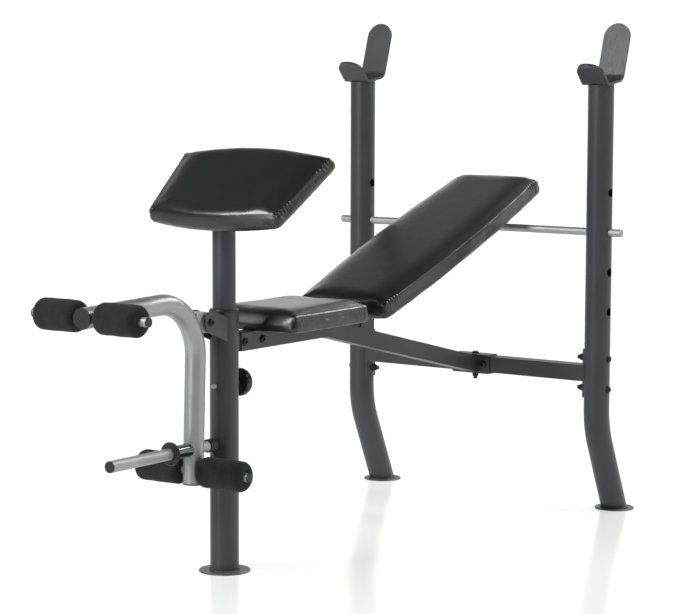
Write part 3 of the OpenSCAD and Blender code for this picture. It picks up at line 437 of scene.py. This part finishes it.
class Outline:
    """Plan of a pad, with x across it and y along it, and its four corners."""

    def __init__(self, local):
        flat = local[:, :2]
        self.centre = (flat.min(0) + flat.max(0)) / 2
        self.half = (flat.max(0) - flat.min(0)) / 2
        self.ring = convex_ring(flat)
        self.edge = np.roll(self.ring, -1, 0) - self.ring
        self.length = np.linalg.norm(self.edge, axis=1)
        self.run = np.concatenate([[0], np.cumsum(self.length)])
        self.total = self.length.sum()
        # place of each corner, and the way in which the long side leaves it
        rel = self.ring - self.centre
        quadrants = [(u, v) for u in (-1, 1) for v in (-1, 1)]
        found = [int(np.argmax(rel @ (np.array(q) / self.half))) for q in quadrants]
        self.corners = [(self.run[i], -u * v) for i, (u, v) in zip(found, quadrants)]
        self.half_length = max(abs(rel[i][1]) for i in found)

    def nearest(self, co):
        """Depth inside the outline, place along it and outward way, for each point."""
        depth = np.full(len(co), np.inf)
        place = np.zeros(len(co))
        out = np.zeros((len(co), 2))
        for start, edge, length, run in zip(self.ring, self.edge, self.length, self.run):
            rel = co[:, :2] - start
            t = np.clip(rel @ edge / length ** 2, 0, 1)
            gap = np.linalg.norm(rel - t[:, None] * edge, axis=1)
            nearer = gap < depth
            depth = np.where(nearer, gap, depth)
            place = np.where(nearer, run + t * length, place)
            out[nearer] = np.array([edge[1], -edge[0]]) / length
        return depth, place, out

    def away_from_corner(self, place):
        """Distance along the outline from the nearest corner, positive on a long side."""
        away = np.full(len(place), 1.0)
        for corner, hand in self.corners:
            gap = ((place - corner + self.total / 2) % self.total - self.total / 2) * hand
            away = np.where(np.abs(gap) < np.abs(away), gap, away)
        return away

    def at(self, place):
        """Point of the outline and direction along it, at a place along it."""
        closed = np.vstack([self.ring, self.ring[:1]])
        point = np.array([np.interp(place, self.run, closed[:, k]) for k in range(2)])
        i = min(int(np.searchsorted(self.run, place, side="right")) - 1, len(self.ring) - 1)
        return point, self.edge[i] / self.length[i]


def on_long_side(out):
    """1 where the outward way points across the pad, 0 at its ends."""
    return step(np.abs(out[:, 0]), 0.75, 0.95)


# ---- pads: vinyl over foam, swollen as cloth, folded at the corners ----

SWELL = 0.002           # the most that the cloth may move a point
END_ROLL = 0.028        # how far in from its ends a pad's top starts to roll over
END_FOOT = 0.35         # share of the side wall's height that is left at the very end
EDGE_LINE = 0.0016      # how far the pressed line at the top of the side wall stands out
EDGE_WAVE = 0.0005      # how much that varies along the pad
WALL_WAVE = 0.0008      # slow waves of the side wall
WALL_CREASE = 0.0003    # short creases of the side wall
WAIST = 0.0017          # how far the side wall is drawn in half-way up
PLEAT_PITCH = 0.0098    # distance between pleats
FLAP = 0.0011           # thickness of the folded end flap
FLAP_SLANT = 0.35       # how much the flap widens towards the underside
TOP_UNEVEN = 0.0004     # slow unevenness of the top
VINYL = 0.0012          # thickness of the sheet under the board


def pad(node, name, side, seed, pleats, voxel=0.0045):
    """Cushion for a CAD pad. Its side wall is side high, and the vinyl gathered near its
    corners stands out by about pleats."""
    axes, low = pad_axes(node)
    local = points_of(nodes[node].data) @ axes.T
    local[:, 2] -= low
    outline = Outline(local)
    mesh = remeshed_hull(name, local, outline, voxel)
    mesh = inflated(mesh, name)
    soften(mesh, outline, voxel)
    fine = in_scene(name + "_fine", mesh)
    fine.modifiers.new("fine", "SUBSURF").levels = 1
    mesh = baked(fine)
    split_near_corners(mesh, outline)
    normals = normals_of(mesh)
    co = draped(mesh, normals, outline, side, local[:, 2].max(), seed, pleats)
    tuck_under(co, mesh, normals, outline, board_underside(node, axes) - low)
    co[:, 2] += low
    set_points(mesh, co @ axes)
    piece = new_piece(name, mesh, "black_vinyl", body_of_node[node])
    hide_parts(node)


def remeshed_hull(name, local, outline, voxel):
    """Convex hull of the solid, a little smaller so that it can swell, as small quads."""
    shrink = 0.0008
    top = local[:, 2].max()
    bm = bmesh.new()
    for p in local:
        x, y = outline.centre + (p[:2] - outline.centre) * (outline.half - shrink) / outline.half
        bm.verts.new((x, y, p[2] * (1 - shrink / top)))
    bmesh.ops.remove_doubles(bm, verts=bm.verts, dist=1e-6)
    bmesh.ops.convex_hull(bm, input=bm.verts)
    inside = [v for v in bm.verts if not v.link_faces]
    bmesh.ops.delete(bm, geom=inside, context="VERTS")
    hull = in_scene(name + "_hull", mesh_of(name, bm))
    remesh = hull.modifiers.new("remesh", "REMESH")
    remesh.mode = "VOXEL"
    remesh.voxel_size = voxel
    return baked(hull)


def inflated(mesh, name):
    """The mesh swollen by Blender's cloth, pinned at its underside."""
    pinned_height = 0.004
    frames = 20
    tiny = 1e-9
    start = points_of(mesh)
    obj = in_scene(name + "_cloth", mesh)
    pinned = obj.vertex_groups.new(name="pin")
    pinned.add([int(i) for i in np.nonzero(start[:, 2] < pinned_height)[0]], 1.0, "REPLACE")
    cloth = obj.modifiers.new("Cloth", "CLOTH")
    s = cloth.settings
    s.quality = 5
    s.mass = 0.3
    s.tension_stiffness = 40
    s.compression_stiffness = 40
    s.shear_stiffness = 20
    s.bending_stiffness = 4
    s.use_pressure = True
    s.uniform_pressure_force = 4
    s.effector_weights.gravity = 0
    s.vertex_group_mass = "pin"
    cloth.collision_settings.use_collision = False
    for f in range(1, frames + 1):
        scene.frame_set(f)
    result = baked(obj)
    scene.frame_set(1)
    moved = points_of(result) - start
    size = np.linalg.norm(moved, axis=1)
    moved *= (np.minimum(size, SWELL) / np.maximum(size, tiny))[:, None]
    set_points(result, start + moved)
    return result


def soften(mesh, outline, voxel):
    """Smooth the top and the rolled ends, where soft foam shows no crease. The long side
    walls and the lowest part, which the board holds, keep their form."""
    reach = 0.013
    co = points_of(mesh)
    depth, _, out = outline.nearest(co)
    firm = on_long_side(out) * step(-depth, -0.016, -0.008)
    loose = (step(co[:, 2], 0.012, 0.020) * (1 - firm))[:, None]
    pairs = np.array([e.vertices[:] for e in mesh.edges])
    count = np.bincount(pairs.ravel(), minlength=len(co))[:, None]
    for _ in range(round((reach / voxel) ** 2) * 2):
        total = np.zeros_like(co)
        np.add.at(total, pairs[:, 0], co[pairs[:, 1]])
        np.add.at(total, pairs[:, 1], co[pairs[:, 0]])
        co += 0.5 * loose * (total / count - co)
    set_points(mesh, co)


def split_near_corners(mesh, outline):
    """Finer quads where the vinyl is gathered, at the edge and above the underside."""
    margin = 0.018
    round_the_end = 0.012
    along_the_side = 0.085
    underside = 0.006
    co = points_of(mesh)
    depth, place, _ = outline.nearest(co)
    away = outline.away_from_corner(place)
    near = (away > -round_the_end) & (away < along_the_side)
    near &= (depth < margin) & (co[:, 2] > underside)
    bm = bmesh.new()
    bm.from_mesh(mesh)
    bm.verts.ensure_lookup_table()
    edges = [e for e in bm.edges if near[e.verts[0].index] and near[e.verts[1].index]]
    bmesh.ops.subdivide_edges(bm, edges=edges, cuts=1, use_grid_fill=True, smooth=0.5)
    bm.to_mesh(mesh)
    bm.free()


def draped(mesh, normals, outline, side, top, seed, pleats):
    """Points of the mesh, moved along its normals by the folds of the vinyl."""
    co = points_of(mesh)
    depth, place, out = outline.nearest(co)
    away = outline.away_from_corner(place)
    height = co[:, 2]
    uneven = noise_at(co[:, 0] * 9 + seed, co[:, 1] * 9, height * 14)
    wave = noise_at(place * 26 + seed, height * 30, 3 * seed)
    crease = noise_at(place * 60 + seed, height * 42, 5 * seed)
    sides = on_long_side(out)
    wall = step(-normals[:, 2], -0.62, -0.25) * step(height, 0.002, 0.008)

    # pressed line at the top of the side wall; it drops where the end rolls over
    from_end = outline.half_length - np.abs(co[:, 1] - outline.centre[1])
    end = np.clip(from_end / END_ROLL, 0, 1)
    foot = side * END_FOOT
    edge = np.minimum(side, foot + (top - foot) * np.sqrt(1 - (1 - end) ** 2))
    ridge = bell(height - edge - 0.001, 0.0042) * step(-depth, -0.024, -0.006)
    lift = sides * (EDGE_LINE + EDGE_WAVE * wave) * ridge

    # slow waves and creases of the side wall, which is drawn in half-way up
    gather = sides * step(away, 0.004, 0.016) * (1 - step(away, 0.035, 0.080))
    lift += sides * wall * (WALL_WAVE * wave + WALL_CREASE * crease)
    lift -= WAIST * sides * wall * bell(height - side * 0.5, 0.011) * (1 - gather)

    # pleats over the side's edge near each corner
    phase = away * 2 * math.pi / PLEAT_PITCH + 2.2 * uneven + 0.9 * np.sin(height * 160)
    fold = (0.5 + 0.5 * np.cos(phase)) ** 1.5
    crown = bell(height - edge, 0.0095) * step(-depth, -0.015, -0.005)
    lift += pleats * gather * (fold - 0.45) * np.maximum(crown, 0.05 * wall)

    # end flap folded round on to the side wall, its edge slanting with height
    slant = FLAP_SLANT * np.clip(side - height, 0, side)
    flap = sides * wall * step(-away, -0.020 - slant, -0.0175 - slant)
    lift += FLAP * flap * step(away, -0.002, 0.004)
    lift += TOP_UNEVEN * uneven * (1 - wall)
    return co + normals * lift[:, None]


def tuck_under(co, mesh, normals, outline, lip):
    """Wrap the underside of co round the board, whose own underside is at height lip. The
    mesh still has the points as they were before the folds."""
    depth, _, _ = outline.nearest(points_of(mesh))
    height = step(depth, 0.004, 0.012) * (lip - VINYL)
    # past the stapled margin the vinyl ends, and the surface rises into the board
    into_board = 0.008
    height += step(depth, 0.0235, 0.0255) * into_board
    under = (co[:, 2] < 0.006) & (normals[:, 2] < -0.3)
    keep = np.where(under, step(-normals[:, 2], 0.3, 0.8), 0)
    co[:, 2] = np.maximum(co[:, 2] * (1 - keep) + height * keep, 0)


pad("seat_pad", "seat_cushion", side=0.034, seed=3, pleats=0.0006)
pad("back_pad", "back_cushion", side=0.034, seed=11, pleats=0.0026, voxel=0.005)
pad("curl_pad", "curl_cushion", side=0.029, seed=23, pleats=0.0030, voxel=0.004)


# ---- foam rollers ----

def foam_roller(node, name, seed):
    """Foam sleeve turned about the x axis, with rounded ends and an uneven skin."""
    low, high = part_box(node)
    middle = (low + high) / 2
    half = (high.x - low.x) / 2
    r = (high.z - low.z) / 2
    bore = min((v.co - middle).yz.length for v in nodes[node].data.vertices) * 0.995
    round_off = 0.013
    around = 96

    # (x, radius) from inside the bore, over the end and along the skin to the other end
    end = [(-half + 0.010, bore), (-half + 0.003, bore), (-half + 0.0012, bore + 0.0015)]
    end += [(-half, bore + 0.004), (-half, (bore + r - round_off) / 2), (-half, r - round_off)]
    end += [(-half + round_off * (1 - math.cos(a)), r - round_off + round_off * math.sin(a))
            for a in np.linspace(0.15, math.pi / 2, 9)]
    skin = [(x, r) for x in np.linspace(-half + round_off, half - round_off, 34)[1:-1]]
    profile = end + skin + [(-x, y) for x, y in reversed(end)]

    verts = []
    faces = []
    for i, (x, y) in enumerate(profile):
        j = (i + 1) % len(profile)
        outside = 1.0 if y > bore + 0.003 else 0.0
        for k, a in enumerate(circle(around)):
            p = Vector((x, y * math.cos(a), y * math.sin(a)))
            lump = noise.noise(p * 28 + Vector((seed, 0, 0))) * 0.0009
            lump += noise.noise(p * 95 + Vector((0, seed, 0))) * 0.00035
            scale = 1 + outside * (lump - 0.0006) / max(y, 1e-6)
            bulge = 0.3 * lump * outside if abs(x) > half - round_off else 0
            verts.append(middle + Vector((x + bulge, p.y * scale, p.z * scale)))
            m = (k + 1) % around
            faces.append((i * around + k, i * around + m, j * around + m, j * around + k))
    piece = new_piece(name, closed_mesh(name, verts, faces), "black_foam", body_of_node[node])
    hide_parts(node)


for i, node in enumerate(("foam_upper_left", "foam_upper_right", "foam_lower_left", "foam_lower_right")):
    foam_roller(node, node.replace("foam_", "roller_foam_"), seed=5 + 7 * i)


# ---- weld beads ----

def bead(name, path, r, node, slot="charcoal_paint"):
    """Rippled bead of radius r along a closed path."""
    spacing = 0.0009
    ripple = 0.0034
    sides = 10
    path = np.array(path)
    closed = np.vstack([path, path[:1]])
    gaps = np.linalg.norm(np.roll(path, -1, 0) - path, axis=1)
    total = gaps.sum()
    at = np.concatenate([[0], np.cumsum(gaps)])
    count = int(total / spacing)
    s = np.arange(count) * total / count
    line = np.stack([np.interp(s, at, closed[:, k]) for k in range(3)], 1)
    line = (np.roll(line, 1, 0) + 2 * line + np.roll(line, -1, 0)) / 4
    tangent = np.roll(line, -1, 0) - np.roll(line, 1, 0)
    tangent /= np.linalg.norm(tangent, axis=1)[:, None]
    first = line - line.mean(0)
    first -= (first * tangent).sum(1)[:, None] * tangent
    first /= np.linalg.norm(first, axis=1)[:, None]
    second = np.cross(tangent, first)
    ripples = max(8, round(total / ripple))
    verts = []
    faces = []
    for i in range(count):
        j = (i + 1) % count
        wave = (s[i] / total * ripples) % 1
        lump = noise.noise(Vector(line[i]) * 120)
        size = r * (0.88 + 0.22 * math.sin(math.pi * wave) + 0.14 * lump)
        for k, a in enumerate(circle(sides)):
            m = (k + 1) % sides
            verts.append(line[i] + size * (math.cos(a) * first[i] + math.sin(a) * second[i]))
            faces.append((i * sides + k, j * sides + k, j * sides + m, i * sides + m))
    new_piece(name, closed_mesh(name, verts, faces), slot, body_of_node[node])


def end_ring(node, way):
    """Outer rim of a tube's flat end, the end that faces a given way."""
    way = Vector(way)
    pts = [v.co for v in nodes[node].data.vertices]
    far = max(p.dot(way) for p in pts)
    rim = np.array([p for p in pts if p.dot(way) > far - 0.0004])
    rel = (rim - (rim.min(0) + rim.max(0)) / 2)[:, :2]
    outer = np.linalg.norm(rel / np.abs(rel).max(0), axis=1) > 0.975
    order = np.argsort(np.arctan2(rel[outer, 1], rel[outer, 0]))
    return rim[outer][order]


def middle_and_radius(node):
    """Middle of a node's box and half its width in x."""
    low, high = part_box(node)
    return (low + high) / 2, (high.x - low.x) / 2


_, leg_r = middle_and_radius("front_leg")
foot_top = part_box("front_foot")[1].z
bead("weld_front_foot", [(leg_r * math.cos(a), leg_r * math.sin(a), foot_top) for a in circle()],
     0.0026, "front_leg")
for side in ("left", "right"):
    upright = "upright_" + side
    bead("weld_rear_foot_" + side, end_ring(upright, (0, 0, -1)), 0.0026, upright)
    top = max((p for p in nodes[upright].data.polygons if p.normal.z > 0.9),
              key=lambda p: p.center.z)
    bead("weld_hook_" + side, end_ring(upright, top.normal), 0.0020, upright)

# the square stub, where it meets the round leg
stub, h = middle_and_radius("frame_stub")
square = [(h, t * h) for t in np.linspace(-1, 1, 12)]
square += [(-t * h, h) for t in np.linspace(-1, 1, 12)]
square += [(-x, -y) for x, y in square]
bead("weld_stub", [(x, math.sqrt(leg_r ** 2 - x * x), stub.z + z) for x, z in square],
     0.0018, "frame_stub")

# the roller tubes, where they enter the developer's bent tube
_, tube_r = middle_and_radius("developer_tube")
for level in ("upper", "lower"):
    sleeve = "foam_%s_left" % level
    axle, _ = middle_and_radius(sleeve)
    r = min(math.hypot(v.co.y - axle.y, v.co.z - axle.z) for v in nodes[sleeve].data.vertices)
    for side, sign in (("left", -1), ("right", 1)):
        path = []
        for a in circle(64):
            dy = r * math.cos(a)
            dz = r * math.sin(a)
            # the bent tube lies along y at the upper rollers and along z at the lower ones
            off = dz if level == "upper" else dy
            path.append((sign * math.sqrt(tube_r ** 2 - off ** 2), axle.y + dy, axle.z + dz))
        bead("weld_roller_%s_%s" % (level, side), path, 0.0014, "developer_tube", "silver_paint")


# ---- staples under the boards ----

def staples(node, under, name, seed):
    """Row of wire staples round the underside of a board."""
    spacing = 0.032
    inset = 0.0165      # from the pad's outline
    wire = 0.0005       # radius
    below = 0.0016      # from the board down to the crown, which lies against the vinyl
    straying = 0.0012   # most that a staple is off its row
    skew = 0.25         # most that it is turned, in radians
    # crown of the staple, along it and up, its two ends bent up into the board
    path = [(-0.0052, 0.002), (-0.0051, 0.0004), (-0.0045, 0.0)]
    path += [(-u, rise) for u, rise in reversed(path)]
    axes, _ = pad_axes(node)
    outline = Outline(points_of(nodes[node].data) @ axes.T)
    height = board_underside(node, axes) - below
    up = np.array([0, 0, 1])
    count = int(outline.total / spacing)
    bm = bmesh.new()
    for i in range(count):
        jitter = noise.noise(Vector((i * 1.7, seed, 0)))
        place = (i + 0.25 * jitter) * outline.total / count % outline.total
        point, along = outline.at(place)
        point = point + np.array([-along[1], along[0]]) * (inset + straying * jitter)
        turn = math.atan2(along[1], along[0]) + skew * jitter
        way = np.array([math.cos(turn), math.sin(turn)])
        across = np.array([-way[1], way[0], 0])
        rings = []
        for u, rise in path:
            centre = np.array([*(point + way * u), height + rise])
            rings.append([bm.verts.new(Vector((centre + across * wire * math.cos(a)
                                               + up * wire * math.sin(a)) @ axes))
                          for a in circle(6)])
        for f, g in zip(rings, rings[1:]):
            for k in range(6):
                m = (k + 1) % 6
                bm.faces.new((f[k], f[m], g[m], g[k]))
        bm.faces.new(rings[0])
        bm.faces.new(rings[-1])
    bmesh.ops.recalc_face_normals(bm, faces=bm.faces)
    new_piece(name, mesh_of(name, bm), "zinc_plate", body_of_node[under])


for seed, part in enumerate(("seat", "back", "curl")):
    staples(part + "_pad", part + "_board", part + "_staples", seed)


# ---- floor, world and lights ----

def add_floor():
    """Pale, slightly glossy floor just below the feet."""
    below = 0.0002
    half_width = 30
    bm = bmesh.new()
    bmesh.ops.create_grid(bm, x_segments=8, y_segments=8, size=half_width)
    mesh = mesh_of("floor", bm)
    s = Shader("pale_floor", (0.45, 0.45, 0.45), 0.16, specular=0.35)
    s.set("Emission Color", (1, 1, 1, 1))
    s.set("Emission Strength", 0.55)
    mesh.materials.append(s.mat)
    floor = in_scene("floor", mesh)
    floor.location.z = cad_low.z - below


def add_world():
    """White behind the object; what lights it is a white backdrop low at its rear and a dim
    room elsewhere."""
    world = bpy.data.worlds.new("studio")
    scene.world = world
    world.use_nodes = True
    tree = world.node_tree
    link = tree.links.new

    def add(kind, **values):
        node = tree.nodes.new("ShaderNode" + kind)
        for key, value in values.items():
            setattr(node, key, value)
        return node

    def remap(value, low, high, to_low, to_high):
        node = add("MapRange", interpolation_type="SMOOTHSTEP")
        set_range(node, low, high, to_low, to_high)
        link(value, node.inputs["Value"])
        return node.outputs["Result"]

    way = add("TexCoord").outputs["Generated"]
    parts = add("SeparateXYZ")
    link(way, parts.inputs["Vector"])
    behind = add("VectorMath", operation="DOT_PRODUCT")
    behind.inputs[1].default_value = (0.1, 0.995, 0)
    link(way, behind.inputs[0])
    # bright near the horizon and dim overhead, bright at the rear and dim in front
    low = remap(parts.outputs["Z"], 0.06, 0.9, 1.0, 0.0)
    rear = remap(behind.outputs["Value"], -0.2, 0.6, 0.10, 1.0)
    glow = add("Math", operation="MULTIPLY")
    link(low, glow.inputs[0])
    link(rear, glow.inputs[1])
    room = remap(glow.outputs["Value"], 0.0, 1.0, 0.10, 0.95)
    back = tree.nodes["Background"]
    back.inputs["Color"].default_value = (1, 1, 1, 1)
    back.inputs["Strength"].default_value = 1.05
    soft = add("Background")
    soft.inputs["Color"].default_value = (1.0, 0.985, 0.945, 1)
    link(room, soft.inputs["Strength"])
    mix = add("MixShader")
    link(add("LightPath").outputs["Is Camera Ray"], mix.inputs["Fac"])
    link(soft.outputs["Background"], mix.inputs[1])
    link(back.outputs["Background"], mix.inputs[2])
    out = next(n for n in tree.nodes if n.type == "OUTPUT_WORLD")
    link(mix.outputs["Shader"], out.inputs["Surface"])


def soft_box(name, azimuth, elevation, distance, width, height, power, color=(1, 1, 1)):
    """Area light; azimuth 0 is at -Y and turns towards +X."""
    aim_height = 0.6
    centre = Vector((0, (cad_low.y + cad_high.y) / 2, aim_height))
    a = math.radians(azimuth)
    e = math.radians(elevation)
    way = Vector((math.sin(a) * math.cos(e), -math.cos(a) * math.cos(e), math.sin(e)))
    data = bpy.data.lights.new(name, "AREA")
    data.shape = "RECTANGLE"
    data.size = width
    data.size_y = height
    data.energy = power
    data.color = color
    light = bpy.data.objects.new(name, data)
    light.location = centre + way * distance
    light.rotation_mode = "QUATERNION"
    light.rotation_quaternion = way.to_track_quat("Z", "Y")
    scene.collection.objects.link(light)


add_floor()
add_world()
cool = (0.98, 0.99, 1.0)
soft_box("key", azimuth=-24, elevation=38, distance=3.6, width=1.25, height=1.1, power=88, color=cool)
soft_box("strip", azimuth=-9, elevation=10, distance=3.8, width=0.5, height=1.8, power=25, color=cool)
soft_box("fill", azimuth=85, elevation=20, distance=4.0, width=1.2, height=1.6, power=7)
soft_box("rim", azimuth=170, elevation=34, distance=4.2, width=2.6, height=0.5, power=58)
soft_box("edge", azimuth=118, elevation=48, distance=3.8, width=0.5, height=1.4, power=40)
scene.view_settings.view_transform = "Standard"
